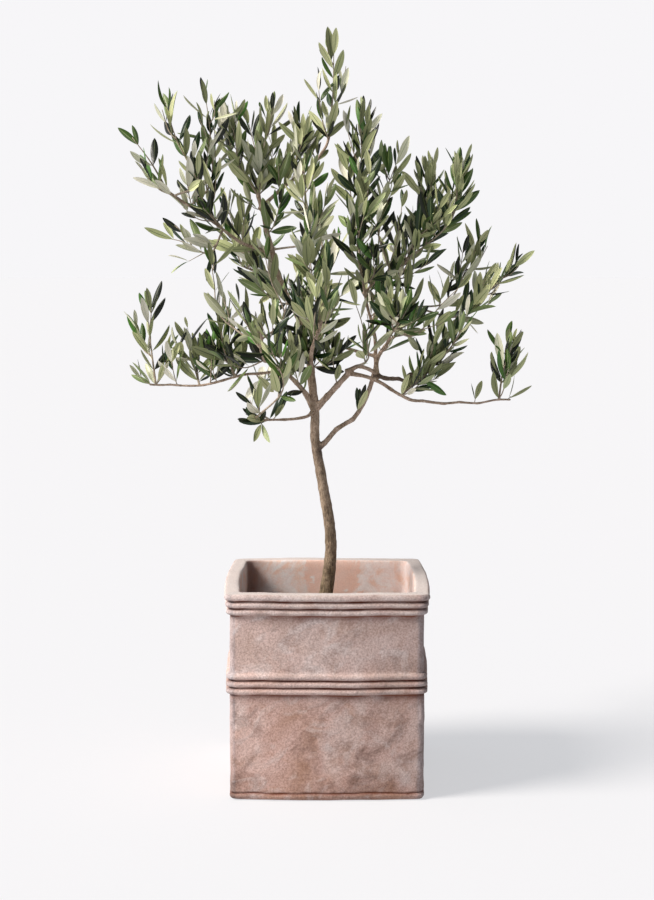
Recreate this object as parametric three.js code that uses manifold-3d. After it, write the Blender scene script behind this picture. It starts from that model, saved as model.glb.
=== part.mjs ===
// Potted olive tree: a young olive with a slender leaning trunk and an open crown, in a
// square terracotta pot with hand-rolled bands. Millimetres, +Z up. The origin is the
// centre of the pot's flat underside, and the pot's front faces -Y.
import * as THREE from "three";
import { mergeVertices } from "three/addons/utils/BufferGeometryUtils.js";
import Module from "manifold-3d";

const wasm = await Module();
wasm.setup();

// Driving dimensions
const GAP = 0.4; // between a piece and what it sits on or grows from
const MERGE_DISTANCE = 1e-3; // points closer than this are one point

const POT_HEIGHT = 368;
const RIM_HALF = 182; // half the pot's width across the rim
const WALL_HALF = 172; // half the width of the plain wall
const CORNER_RADIUS = 15;
const SIDE_BOW = 6; // how far the middle of each side bulges outward
const RIM_WIDTH = 27;
const FLOOR = 28; // thickness of the pot's floor
const WALL_DRAFT = 4; // how much the inside narrows from rim to floor
const ROLLS = 3; // rolls of clay in the rim and in the belt round the middle
const ROLL_HEIGHT = 13;
const ROLL_DEPTH = 4; // depth of the groove between two rolls
const ROLL_EDGE = 0.25; // share of a roll's height that is rounded off at each side of it
const ROLL_FLARE = 2; // how much further out each roll of the rim stands than the last
const BELT_BOTTOM = 188;
const BELT_RELIEF = 6; // how far the belt stands out from the wall
const FOOT_HEIGHT = 13;
const FOOT_RELIEF = 1; // how far the foot stands out from the wall
const EDGE = 3; // rounding of the pot's edges
const SIDE_PARTS = 3; // facets along each side of the pot
const CORNER_PARTS = 4; // facets round each corner of the pot

const SOIL_TOP = 284;
const SOIL_CROWNING = 2; // how much the soil rises from the walls to its flat middle

const TRUNK_FLARE = 5; // extra radius of the trunk where it meets the soil
const FLARE_HEIGHT = 16; // height over which the flare dies away
const LIMB_SIDES = 6;
const TRUNK_SIDES = 10;
const STEP = 32; // length of one facet along a limb
const FEWEST_STEPS = 3; // facets along the shortest limb

const FOLIAGE_SIDES = 8;
const FOLIAGE_RINGS = 6;
const LUMP_TURNS = 3; // lumps round a mass of foliage
const LUMP_SIZE = 0.14; // how far they stand out, as a share of its radius
const TWIST_TURNS = 2; // smaller lumps, which also wind up the mass
const TWIST_RISE = 5;
const TWIST_SIZE = 0.1;
const FOLIAGE_TAPER = 0.2; // how much narrower than its middle a mass is near its tip
const FOLIAGE_FULLNESS = 0.1; // how far its shoulders swell beyond those of a spindle
const SEED_STEP = 1.7; // turns the lumps of each mass from those of the last

// Trunk and boughs: diameter at the base, diameter at the end, and the points of the
// centre line, from inside the limb that carries it to inside the foliage it feeds.
const LIMBS = {
  trunk: [27, 14, [-13, 0, 276], [1, 0, 360], [7, 0, 432], [-6, 0, 528], [-21, 0, 622],
    [-23, 0, 686], [-31, 0, 754]],
  leader_bough: [13.5, 8, [-30, 0, 750], [-51, 10, 835], [-87, 25, 914], [-103, 30, 970],
    [-135, 40, 1110]],
  upper_left_bough: [8, 5, [-102, 30, 968], [-164, 10, 990], [-203, -10, 1022],
    [-305, -40, 1092]],
  top_bough: [8, 5, [-122, 35, 1055], [-74, 25, 1099], [-13, 5, 1144], [4, 0, 1190]],
  low_right_bough: [11, 9, [-18, 0, 605], [24, 10, 642], [67, 20, 681], [88, 25, 742]],
  centre_right_stem: [8.5, 5, [87, 25, 739], [91, 22, 792], [74, -8, 880], [61, -60, 942]],
  right_bough: [12, 11, [-23, 0, 677], [8, -12, 712], [44, -30, 753]],
  long_right_bough: [8, 4, [42, -30, 748], [84, -32, 737], [151, -40, 704],
    [253, -50, 696], [335, -60, 702]],
  bridge_bough: [9, 8, [40, -30, 752], [62, -25, 760], [94, -12, 745]],
  inner_right_bough: [8, 5, [93, -12, 742], [98, -12, 783], [128, -18, 820],
    [160, -45, 870]],
  knobbly_bough: [8, 7, [94, -12, 744], [135, -18, 735], [167, -24, 750], [205, -30, 768]],
  left_bough: [11, 6, [-22, 0, 673], [-45, -16, 715], [-83, -40, 754], [-132, -62, 784]],
  long_left_bough: [6.5, 4, [-80, -38, 751], [-140, -30, 748], [-230, -15, 726],
    [-330, -5, 726]],
  drooping_bough: [7, 4, [-21, 0, 679], [-40, -24, 666], [-88, -55, 663],
    [-132, -90, 668]],
  back_bough: [7, 5, [88, 25, 778], [20, 60, 797], [-20, 140, 850], [0, 220, 910]],
  mid_right_bough: [5, 4, [70, -20, 898], [112, 5, 935], [155, 50, 955]],
  front_bough: [9, 6, [-32, 0, 749], [-25, -90, 797], [-10, -190, 850]],
  front_right_bough: [7, 5, [99, -12, 785], [120, -90, 827], [135, -150, 865]],
  front_left_bough: [6.5, 5, [-112, -58, 774], [-118, -120, 800], [-115, -190, 845]],
  back_left_bough: [7, 5, [-72, 20, 884], [-100, 110, 920], [-140, 190, 955]],
  back_right_bough: [6.5, 5, [84, 10, 838], [110, 110, 900], [138, 190, 985]],
};

// Foliage: where each mass starts, where its highest shoot ends, and its widest radius.
const MASSES = {
  spire: [[-2, 0, 1165], [16, 0, 1388], 46],
  high_centre_right: [[45, -30, 1030], [68, -30, 1252], 50],
  high_centre_left: [[-25, 50, 1050], [-60, 50, 1245], 50],
  high_right: [[105, -20, 1010], [148, -20, 1188], 46],
  shoulder_back: [[195, 30, 935], [185, 30, 1150], 38],
  shoulder_front: [[215, -25, 925], [242, -25, 1152], 40],
  upper_right: [[225, 50, 875], [310, 50, 1035], 42],
  outer_right: [[250, -10, 845], [372, -10, 980], 42],
  mid_right: [[160, -75, 812], [270, -80, 935], 47],
  inner_right: [[215, -50, 745], [262, -50, 890], 36],
  low_right: [[130, -30, 715], [250, -30, 790], 40],
  far_right: [[318, -60, 690], [345, -60, 838], 45],
  front_right: [[110, -150, 780], [160, -150, 915], 50],
  back_mid_right: [[145, 85, 860], [170, 85, 1040], 50],
  centre_front: [[60, -95, 890], [80, -95, 1080], 50],
  centre_low: [[62, -90, 775], [50, -90, 925], 46],
  back_right: [[130, 200, 910], [150, 200, 1125], 58],
  front_centre: [[-15, -210, 745], [-15, -210, 925], 52],
  centre_left_front: [[-15, -130, 860], [-30, -130, 1055], 50],
  centre_left_high: [[-30, -40, 990], [-50, -40, 1165], 48],
  mid_left_front: [[-85, -100, 845], [-125, -100, 1015], 52],
  high_left_back: [[-125, 70, 1065], [-110, 70, 1272], 48],
  high_left: [[-170, 10, 1070], [-180, 10, 1268], 44],
  left_peak: [[-215, -20, 1095], [-232, -20, 1302], 39],
  outer_left_peak: [[-245, -50, 1090], [-308, -50, 1282], 36],
  outer_left_tip: [[-290, -40, 1065], [-374, -40, 1212], 33],
  upper_left: [[-195, -50, 990], [-258, -50, 1150], 48],
  outer_left: [[-212, -10, 962], [-328, -10, 1024], 42],
  inner_left_back: [[-160, 110, 945], [-200, 110, 1100], 50],
  left_wisp: [[-190, -90, 850], [-218, -90, 1000], 32],
  far_left: [[-325, -5, 715], [-338, -5, 908], 50],
  low_left: [[-240, 35, 715], [-275, 35, 862], 48],
  low_left_front: [[-165, -60, 715], [-198, -60, 890], 50],
  front_left: [[-90, -200, 720], [-115, -200, 895], 50],
  drooping: [[-95, -90, 655], [-165, -90, 735], 38],
  back_left: [[-150, 200, 840], [-170, 200, 1065], 60],
  back_centre: [[0, 240, 820], [-10, 240, 1080], 62],
};

// Solids

/** A closed geometry as a manifold solid. */
function solid(geometry) {
  const bare = geometry.clone();
  bare.deleteAttribute("normal");
  bare.deleteAttribute("uv");
  const merged = mergeVertices(bare, MERGE_DISTANCE);
  const index = merged.index.array;
  const kept = [];
  for (let i = 0; i < index.length; i += 3) {
    const [a, b, c] = index.slice(i, i + 3);
    if (a !== b && b !== c && c !== a) kept.push(a, b, c);
  }
  const vertProperties = new Float32Array(merged.attributes.position.array);
  return new wasm.Manifold(
    new wasm.Mesh({ numProp: 3, vertProperties, triVerts: new Uint32Array(kept) }),
  );
}

/** A manifold solid as a geometry. */
function geometryOf(body) {
  const mesh = body.getMesh();
  const geometry = new THREE.BufferGeometry();
  geometry.setAttribute("position", new THREE.BufferAttribute(mesh.vertProperties, 3));
  geometry.setIndex(new THREE.BufferAttribute(mesh.triVerts, 1));
  return geometry;
}

/** The same solid with every face moved outward by the gap. */
function grown(body) {
  const geometry = geometryOf(body);
  geometry.computeVertexNormals();
  const { position, normal } = geometry.attributes;
  for (let i = 0; i < position.count; i++) {
    position.setXYZ(
      i,
      position.getX(i) + GAP * normal.getX(i),
      position.getY(i) + GAP * normal.getY(i),
      position.getZ(i) + GAP * normal.getZ(i),
    );
  }
  return solid(geometry);
}

/** What is left of a solid outside its grown neighbours: the largest piece of it. */
function seated(body, neighbours) {
  const rest = neighbours.reduce((left, other) => left.subtract(other), body);
  return rest.decompose().sort((a, b) => b.volume() - a.volume())[0];
}

/** A tapering limb with a flat cut at each end, bent along a smooth curve. */
function limb(sides, baseDiameter, endDiameter, points, flare) {
  const curve = new THREE.CatmullRomCurve3(points.map((p) => new THREE.Vector3(...p)));
  const length = curve.getLength();
  const steps = Math.max(FEWEST_STEPS, Math.round(length / STEP));
  const frames = curve.computeFrenetFrames(steps);
  const geometry = new THREE.CylinderGeometry(1, 1, 1, sides, steps);
  const position = geometry.attributes.position;
  const point = new THREE.Vector3();
  for (let i = 0; i < position.count; i++) {
    const along = position.getY(i) + 0.5;
    const ring = Math.round(along * steps);
    const radius = THREE.MathUtils.lerp(baseDiameter, endDiameter, along) / 2
      + flare * Math.exp(-(along * length) / FLARE_HEIGHT);
    curve.getPointAt(along, point);
    point.addScaledVector(frames.normals[ring], position.getX(i) * radius);
    point.addScaledVector(frames.binormals[ring], -position.getZ(i) * radius);
    position.setXYZ(i, point.x, point.y, point.z);
  }
  return solid(geometry);
}

/** An uneven spindle of leaves, fullest below its middle and narrow at its tip. */
function foliage(base, tip, radius, seed) {
  const start = new THREE.Vector3(...base);
  const axis = new THREE.Vector3(...tip).sub(start);
  const turn = new THREE.Quaternion().setFromUnitVectors(
    new THREE.Vector3(0, 1, 0),
    axis.clone().normalize(),
  );
  const geometry = new THREE.SphereGeometry(1, FOLIAGE_SIDES, FOLIAGE_RINGS);
  const position = geometry.attributes.position;
  const point = new THREE.Vector3();
  for (let i = 0; i < position.count; i++) {
    point.fromBufferAttribute(position, i);
    const angle = Math.atan2(point.z, point.x);
    const lump = 1 + LUMP_SIZE * Math.sin(LUMP_TURNS * angle + seed)
      + TWIST_SIZE * Math.sin(TWIST_RISE * point.y + TWIST_TURNS * angle + 2 * seed);
    const taper = 1 - FOLIAGE_TAPER * point.y;
    const width = (radius * lump * taper) / (1.02 - point.y ** 2) ** FOLIAGE_FULLNESS;
    point.set(point.x * width, (point.y * axis.length()) / 2, point.z * width);
    point.applyQuaternion(turn).add(start).addScaledVector(axis, 0.5);
    position.setXYZ(i, point.x, point.y, point.z);
  }
  return solid(geometry);
}

// Pot

/** One quarter of the pot's outline, as [side position, corner angle] steps. */
function quarterOutline() {
  const steps = [];
  for (let i = 0; i < SIDE_PARTS; i++) steps.push([(2 * i) / SIDE_PARTS - 1, 0]);
  for (let i = 0; i < CORNER_PARTS; i++) steps.push([1, (i * Math.PI) / (2 * CORNER_PARTS)]);
  return steps;
}

const QUARTER = quarterOutline();
const OUTLINE_POINTS = 4 * QUARTER.length;

/** A point of the bowed, round-cornered square of a half width. */
function outlinePoint(step, half) {
  const quarter = Math.floor(step / QUARTER.length);
  const [along, cornerAngle] = QUARTER[step % QUARTER.length];
  const flat = half - CORNER_RADIUS;
  const bow = SIDE_BOW * Math.cos((along * Math.PI) / 2);
  const point = new THREE.Vector2(
    flat + bow + CORNER_RADIUS * Math.cos(cornerAngle),
    along * flat + CORNER_RADIUS * Math.sin(cornerAngle),
  );
  return point.rotateAround(new THREE.Vector2(0, 0), (quarter * Math.PI) / 2);
}

/** A lathe of [half width, height] points whose rings are the pot's outline. */
function squareLathe(profile) {
  const lathe = new THREE.LatheGeometry(
    profile.map(([half, height]) => new THREE.Vector2(half, height)),
    OUTLINE_POINTS,
  );
  const position = lathe.attributes.position;
  for (let i = 0; i < position.count; i++) {
    const [half, height] = profile[i % profile.length];
    const step = Math.floor(i / profile.length) % OUTLINE_POINTS;
    const point = half === 0 ? new THREE.Vector2(0, 0) : outlinePoint(step, half);
    position.setXYZ(i, point.x, point.y, height);
  }
  return solid(lathe);
}

/** The outer profile of a band of rolls, from its lowest to its highest point. */
function rolls(bottom, half, flareOut) {
  const points = [];
  for (let i = 0; i < ROLLS; i++) {
    const low = bottom + i * ROLL_HEIGHT;
    const crest = half + i * flareOut;
    if (i > 0) points.push([crest - ROLL_DEPTH, low]);
    points.push([crest, low + ROLL_HEIGHT * ROLL_EDGE]);
    points.push([crest, low + ROLL_HEIGHT * (1 - ROLL_EDGE)]);
  }
  return points;
}

function innerHalf(height) {
  return RIM_HALF - RIM_WIDTH - WALL_DRAFT * (1 - height / POT_HEIGHT);
}

function pot() {
  const rimBottom = POT_HEIGHT - ROLLS * ROLL_HEIGHT;
  return squareLathe([
    [0, 0],
    [WALL_HALF - EDGE, 0],
    [WALL_HALF + FOOT_RELIEF, EDGE],
    [WALL_HALF + FOOT_RELIEF, FOOT_HEIGHT - EDGE],
    [WALL_HALF - EDGE, FOOT_HEIGHT],
    [WALL_HALF, FOOT_HEIGHT + EDGE],
    [WALL_HALF, BELT_BOTTOM],
    ...rolls(BELT_BOTTOM, WALL_HALF + BELT_RELIEF, 0),
    [WALL_HALF, BELT_BOTTOM + ROLLS * ROLL_HEIGHT],
    [WALL_HALF, rimBottom],
    ...rolls(rimBottom, RIM_HALF - (ROLLS - 1) * ROLL_FLARE, ROLL_FLARE),
    [RIM_HALF - EDGE, POT_HEIGHT],
    [innerHalf(POT_HEIGHT) + EDGE, POT_HEIGHT],
    [innerHalf(POT_HEIGHT), POT_HEIGHT - EDGE],
    [innerHalf(FLOOR), FLOOR],
    [0, FLOOR],
  ]);
}

function soil() {
  const bottom = FLOOR + GAP;
  const edge = SOIL_TOP - SOIL_CROWNING;
  return squareLathe([
    [0, bottom],
    [innerHalf(bottom) - GAP, bottom],
    [innerHalf(edge) - GAP, edge],
    [innerHalf(edge) / 2, SOIL_TOP],
    [0, SOIL_TOP],
  ]);
}

// Materials
const terracotta = new THREE.MeshStandardMaterial({ color: "#b29a91", roughness: 0.9 });
const earth = new THREE.MeshStandardMaterial({ color: "#4a3a2e", roughness: 1 });
const bark = new THREE.MeshStandardMaterial({ color: "#8a7563", roughness: 0.9 });
const leaves = new THREE.MeshStandardMaterial({ color: "#77795f", roughness: 0.7 });

// Assembly
const tree = new THREE.Group();

function add(name, body, material) {
  const mesh = new THREE.Mesh(geometryOf(body), material.clone());
  mesh.name = name;
  tree.add(mesh);
}

add("pot", pot(), terracotta);
const soilBody = soil();
add("soil", soilBody, earth);

const placed = [grown(soilBody)];
for (const [name, [baseDiameter, endDiameter, ...points]] of Object.entries(LIMBS)) {
  const isTrunk = name === "trunk";
  const sides = isTrunk ? TRUNK_SIDES : LIMB_SIDES;
  const flare = isTrunk ? TRUNK_FLARE : 0;
  const whole = limb(sides, baseDiameter, endDiameter, points, flare);
  add(name, seated(whole, placed), bark);
  placed.push(grown(whole));
}

Object.entries(MASSES).forEach(([name, [base, tip, radius]], seed) => {
  const whole = foliage(base, tip, radius, SEED_STEP * seed);
  add(`${name}_foliage`, seated(whole, placed), leaves);
  placed.push(grown(whole));
});

export default tree;
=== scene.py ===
import math

import bpy
import numpy as np
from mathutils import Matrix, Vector, noise
from mathutils.kdtree import KDTree


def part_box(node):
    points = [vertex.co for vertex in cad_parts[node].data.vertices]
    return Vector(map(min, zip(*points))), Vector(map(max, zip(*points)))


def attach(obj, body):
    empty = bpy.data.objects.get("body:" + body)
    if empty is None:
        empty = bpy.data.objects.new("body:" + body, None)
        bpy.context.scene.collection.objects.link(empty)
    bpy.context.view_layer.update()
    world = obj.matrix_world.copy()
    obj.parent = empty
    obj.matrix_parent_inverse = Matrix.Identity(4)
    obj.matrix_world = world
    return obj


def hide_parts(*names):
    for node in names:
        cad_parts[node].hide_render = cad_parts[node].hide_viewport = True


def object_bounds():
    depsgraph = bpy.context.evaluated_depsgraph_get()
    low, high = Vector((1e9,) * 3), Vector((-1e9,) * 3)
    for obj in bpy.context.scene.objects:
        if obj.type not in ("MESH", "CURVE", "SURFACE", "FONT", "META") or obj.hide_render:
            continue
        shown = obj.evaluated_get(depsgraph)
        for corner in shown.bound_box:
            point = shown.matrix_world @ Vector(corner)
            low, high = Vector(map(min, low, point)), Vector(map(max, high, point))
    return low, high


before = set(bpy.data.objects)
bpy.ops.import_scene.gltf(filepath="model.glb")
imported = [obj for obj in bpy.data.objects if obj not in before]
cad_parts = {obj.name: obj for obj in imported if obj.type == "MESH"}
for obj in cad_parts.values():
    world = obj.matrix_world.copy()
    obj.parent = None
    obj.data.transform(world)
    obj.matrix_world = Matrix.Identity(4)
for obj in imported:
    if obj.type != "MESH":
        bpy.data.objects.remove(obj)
cad_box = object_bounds()
MM = 0.001


# Camera: about three metres in front of the pot and level with the middle of the crown,
# so that it looks down into the pot's mouth. It is tilted little and shifted instead, which
# keeps the trunk upright.
def put_in_scene(name, data):
    """An object of the scene that holds this camera, mesh or lamp."""
    made = bpy.data.objects.new(name, data)
    bpy.context.collection.objects.link(made)
    return made


camera_data = bpy.data.cameras.new("camera")
camera_data.lens = 66.7
camera_data.sensor_width = 36
camera_data.shift_y = -0.146
camera = put_in_scene("camera", camera_data)
camera.location = (0, -3.095, 0.956)
camera.rotation_euler = (math.radians(88), 0, 0)
bpy.context.scene.camera = camera


# Pot: a square planter of pressed terracotta slabs, with three rolls of clay laid on
# under the rim and three more round the belly, smoothed by hand while wet, fired soft
# and washed with thin lime, which stays as a bloom on the clay. Its grooves are darker,
# with bare clay and dirt and with painted shade.
_, pot_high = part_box("pot")
POT_HEIGHT = pot_high.z
SIDE_BOW = 6 * MM
RIM_HALF = pot_high.x - 5.2 * MM  # the bowed sides stand out past the rim's corners
WALL_HALF = RIM_HALF - 10 * MM
BAND_CORNER = 14 * MM
WALL_CORNER = 10 * MM
RIM_WIDTH = 27 * MM
FLOOR_THICKNESS = 28 * MM
WALL_DRAFT = 4 * MM
ROLLS = 3
ROLL_HEIGHT = 13 * MM
ROLL_SQUARENESS = 2.7  # the higher, the flatter the rolls and the tighter the grooves
GROOVE_DEPTH = 7.4 * MM
# Dirt and painted shade in the grooves, and a darker strip under each band.
DIRT_AND_SHADE_SQUARENESS = 3.4
DARKER_UNDER_BAND = 0.42
DARKER_UNDER_BAND_REACH = 6 * MM
BELT_BOTTOM = 188 * MM
BELT_RELIEF = 6 * MM
FOOT_HEIGHT = 13 * MM
KNOCKS = 46
SIDE_STEPS = 64
CORNER_STEPS = 10
QUARTER = SIDE_STEPS + CORNER_STEPS
RING = 4 * QUARTER


def piece(name, points, faces, materials, face_materials=None, smooth=True):
    """A mesh object from lists of points and faces, riding on the tree's one body."""
    mesh = bpy.data.meshes.new(name)
    mesh.from_pydata(np.asarray(points).tolist(), [], faces)
    for material in materials:
        mesh.materials.append(material)
    if face_materials is not None:
        mesh.polygons.foreach_set("material_index", face_materials)
    mesh.polygons.foreach_set("use_smooth", [smooth] * len(mesh.polygons))
    mesh.validate()
    mesh.update()
    made = put_in_scene(name, mesh)
    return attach(made, "root")


def mark(made, name, values):
    """Stores a number from 0 to 1 at each point of a mesh, for its material to read."""
    layer = made.data.attributes.new(name, "FLOAT", "POINT")
    layer.data.foreach_set("value", np.clip(values, 0, 1).astype(np.float32))


def rough(point, size, seed=0.0):
    """Smooth noise from -1 to 1 whose lumps are about this size."""
    return noise.noise(Vector(point) / size + Vector((seed, seed * 2.3, seed * 4.1)))


def square_ring(half, radius=BAND_CORNER):
    """Points round a square of this half width, with bowed sides and round corners."""
    even = np.linspace(-1, 1, SIDE_STEPS, endpoint=False)
    side = 0.6 * even + 0.4 * np.sin(even * math.pi / 2)
    corner = np.linspace(0, math.pi / 2, CORNER_STEPS, endpoint=False)
    along = np.concatenate([side, np.ones(CORNER_STEPS)])
    angle = np.concatenate([np.zeros(SIDE_STEPS), corner])
    flat = half - radius
    out = flat + SIDE_BOW * np.cos(along * math.pi / 2) + radius * np.cos(angle)
    beside = along * flat + radius * np.sin(angle)
    quarters = [(out, beside), (-beside, out), (-out, -beside), (beside, -out)]
    return np.concatenate([np.stack(pair, axis=1) for pair in quarters])


def ring_walls(rings, size, first=0):
    """The quads between stacked rings of points, each ring with this many points."""
    quads = []
    for start in range(first, first + (rings - 1) * size, size):
        for step in range(size):
            a, b = start + step, start + (step + 1) % size
            quads.append((a, b, b + size, a + size))
    return quads


def rolls(bottom, crest, flare, top_fall):
    """The outer profile of a band of rolls, as half width, height and share of dirt and painted shade."""
    profile = []
    for roll in range(ROLLS):
        for up in (-1, -0.93, -0.84, -0.7, -0.5, -0.25, 0, 0.25, 0.5, 0.7, 0.84, 0.93):
            at_top = roll == ROLLS - 1 and up > 0
            fall = (top_fall if at_top else GROOVE_DEPTH) * abs(up) ** ROLL_SQUARENESS
            height = bottom + ROLL_HEIGHT * (roll + 0.5 + 0.5 * up)
            dirt_and_shade = 0 if at_top else abs(up) ** DIRT_AND_SHADE_SQUARENESS
            profile.append((crest + roll * flare - fall, height, dirt_and_shade))
    return profile


def plain_wall(half, low, high, step=4.5 * MM):
    """A stretch of flat wall, in rows close enough to carry the marks of the hand.

    It is a little darker just under the band above it.
    """
    return [(half, z, DARKER_UNDER_BAND * math.exp((z - high) / DARKER_UNDER_BAND_REACH))
            for z in np.linspace(low, high, max(2, round((high - low) / step)))]


def in_band(height):
    """Whether a height is on one of the two bands of rolls."""
    return height > rim_bottom or BELT_BOTTOM < height < belt_top


rim_bottom = POT_HEIGHT - ROLLS * ROLL_HEIGHT
belt_top = BELT_BOTTOM + ROLLS * ROLL_HEIGHT
inner_top = RIM_HALF - RIM_WIDTH
inner_foot = inner_top - WALL_DRAFT
outside = [
    # half width, height, share of dirt and painted shade: the rounded foot, under the thin line that marks
    # it
    (WALL_HALF - 7 * MM, 0, 0.5),
    (WALL_HALF - 3.4 * MM, 1.2 * MM, 0.4),
    (WALL_HALF - 1.2 * MM, 3.4 * MM, 0.1),
    (WALL_HALF + 0.4 * MM, 6 * MM, 0),
    (WALL_HALF + 0.8 * MM, 9 * MM, 0),
    (WALL_HALF - 0.5 * MM, 11.5 * MM, 0.5),
    (WALL_HALF - 2.5 * MM, FOOT_HEIGHT, 0.9),
    (WALL_HALF - 0.5 * MM, 14.5 * MM, 0.4),
    *plain_wall(WALL_HALF, 17 * MM, BELT_BOTTOM - 3 * MM),
    *rolls(BELT_BOTTOM, WALL_HALF + BELT_RELIEF, 0, BELT_RELIEF),
    *plain_wall(WALL_HALF, belt_top + 3 * MM, rim_bottom - 3 * MM),
    *rolls(rim_bottom, RIM_HALF - 3 * MM, 1.5 * MM, 2.6 * MM),
]
rim = [(RIM_HALF - 4 * MM - share * (RIM_WIDTH - 8 * MM), POT_HEIGHT, 0)
       for share in np.linspace(0, 1, 5)]
inside = [(inner_top + 1.2 * MM, POT_HEIGHT - 1 * MM, 0)]
inside += [(inner_foot + WALL_DRAFT * z / POT_HEIGHT, z, 0)
           for z in np.linspace(POT_HEIGHT - 4 * MM, FLOOR_THICKNESS, 26)]
rows = outside + rim + inside
first_rim, first_inside = len(outside), len(outside) + len(rim)

# Each point is pushed out by the slab's slow waves and small dents, by slip smeared over
# the grooves and by pinches at the corners, and the rolls sag a little between them.
places_round = np.arange(RING) % QUARTER - SIDE_STEPS
corner_gap = np.where(places_round >= 0, 0,
                      np.minimum(-places_round, places_round + SIDE_STEPS + 1))
corner_share = np.exp(-(corner_gap / 0.8) ** 2)
points, groove, rim_share, inner_share, edge_wear_and_highlight = [], [], [], [], []
for row, (half, height, dirt_and_shade) in enumerate(rows):
    on_outside = row < first_rim
    ring = square_ring(half, BAND_CORNER if in_band(height) else WALL_CORNER)
    outward = ring / np.linalg.norm(ring, axis=1)[:, None]
    for (x, y), (out_x, out_y), corner in zip(ring, outward, corner_share):
        place = (x, y, height)
        push = 1.3 * MM * rough(place, 90 * MM) + 0.45 * MM * rough(place, 24 * MM, 3)
        if on_outside:
            smear = dirt_and_shade * 3.2 * MM * rough(place, 38 * MM, 5)
            pinch = corner * 2 * MM * rough(place, 21 * MM, 6)
            push = push + max(smear, 0) + pinch
        else:
            push = 0.5 * push
        sag = 1.4 * MM * rough((x, y, height * 0.3), 80 * MM, 9)
        sag += 0.35 * MM * rough((x, y, height * 0.8), 17 * MM, 8)
        if height < 2 * FOOT_HEIGHT:
            sag += 2.2 * MM * rough((x, y, 0), 33 * MM, 14)
        if height < 2 * MM or row >= first_inside:
            sag = 0
        points.append((x + push * out_x, y + push * out_y, height + sag))
        # The grooves and the foot line are darkened with dirt and painted shade; the wall under each band
        # is a little darker.
        groove.append(dirt_and_shade * (0.95 - 1.1 * rough(place, 34 * MM, 7)))
        rim_share.append(float(first_rim <= row <= first_inside))
        inner_share.append(float(row >= first_inside))
        # Wear pales the corners and the crests of the bands; on the crests it is also painted highlight
        # along the rolls' tops.
        wear_and_highlight = 0.7 if height > rim_bottom else 0.25 if in_band(height) else 0
        wear_and_highlight = max(0.1 * corner, wear_and_highlight * (1 - min(1.0, 3 * dirt_and_shade)))
        edge_wear_and_highlight.append(wear_and_highlight * on_outside * (0.7 + 1.1 * rough(place, 26 * MM, 12)))

# Knocks and stuck-on crumbs of clay, most of them at the corners.
clay_random = np.random.default_rng(3)
points = np.array(points)
outer_points = points[:first_rim * RING]
for _ in range(KNOCKS):
    at_corner = clay_random.uniform() < 0.6
    column = clay_random.integers(4) * QUARTER
    column += (SIDE_STEPS + clay_random.integers(CORNER_STEPS) if at_corner
               else clay_random.integers(SIDE_STEPS))
    centre = outer_points[clay_random.integers(4, first_rim) * RING + column]
    away = np.linalg.norm(outer_points - centre, axis=1)
    size = clay_random.uniform(3, 7) * MM
    bump = clay_random.uniform(-1.8, 1.5) * MM * np.exp(-(away / size) ** 2)
    outer_points += bump[:, None] * np.append(centre[:2] / np.linalg.norm(centre[:2]), 0)

# Two runs of slip dried on the front corners, just under the belt.
RUNS = [
    # side of the pot, bottom, top, half width, thickness
    (-1, 150 * MM, 186 * MM, 5 * MM, 2.4 * MM),
    (1, 139 * MM, 187 * MM, 4 * MM, 1.3 * MM),
]
for side, low, high, wide, thick in RUNS:
    centre = (side * (WALL_HALF - wide), -WALL_HALF)
    beside = np.linalg.norm(points[:, :2] - centre, axis=1) / wide
    below_top = np.clip((high - points[:, 2]) / MM, 0, 1)
    above_bottom = np.clip((points[:, 2] - low) / (3 * MM), 0, 1)
    swell = thick * np.exp(-beside ** 4) * above_bottom * below_top
    points[:, 1] -= swell
    points[:, 0] += 0.4 * side * swell
points = points.tolist() + [(0, 0, FLOOR_THICKNESS), (0, 0, 0)]
floor_centre, base_centre = len(points) - 2, len(points) - 1
faces = ring_walls(len(rows), RING)
last = (len(rows) - 1) * RING
for step in range(RING):
    faces.append((last + step, last + (step + 1) % RING, floor_centre))
    faces.append(((step + 1) % RING, step, base_centre))


def colour(hex_code):
    """An sRGB hex colour as the linear values that Blender's sockets hold."""
    parts = [int(hex_code[i:i + 2], 16) / 255 for i in (1, 3, 5)]
    return (*(c / 12.92 if c <= 0.04045 else ((c + 0.055) / 1.055) ** 2.4 for c in parts), 1)


def feed(node, inputs):
    """Sets a node's inputs, each found by its name or its place among those in use.

    A value can be a number, a hex colour, another node's output, or a whole node, which
    stands for its first output in use.
    """
    for key, value in inputs.items():
        in_use = [socket for socket in node.inputs if socket.enabled]
        names = [socket.name for socket in in_use]
        socket = in_use[key if isinstance(key, int) else names.index(key)]
        if isinstance(value, bpy.types.Node):
            value = next(output for output in value.outputs if output.enabled)
        if isinstance(value, bpy.types.NodeSocket):
            node.id_data.links.new(value, socket)
        else:
            socket.default_value = colour(value) if isinstance(value, str) else value


def add(tree, kind, inputs=None, stops=None, **settings):
    """Adds a node. Stops are a ramp's places and hex colours. A Mix blends colours."""
    made = tree.nodes.new("ShaderNode" + kind)
    if kind == "Mix":
        made.data_type = "RGBA"
    for key, value in settings.items():
        setattr(made, key, value)
    feed(made, inputs or {})
    if stops:
        elements = made.color_ramp.elements
        elements[0].position, elements[1].position = stops[0][0], stops[-1][0]
        for position, _ in stops[1:-1]:
            elements.new(position)
        for element, (_, hex_code) in zip(elements, stops):
            element.color = colour(hex_code)
    return made


def start_material(name):
    """A material with a Principled shader, and the places its patterns are laid by."""
    material = bpy.data.materials.new(name)
    material.use_nodes = True
    tree = material.node_tree
    places = add(tree, "TexCoord").outputs["Object"]
    return material, tree, tree.nodes["Principled BSDF"], places


def per(size_mm):
    """The texture scale whose features are about this many millimetres across."""
    return 1000 / size_mm
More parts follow.
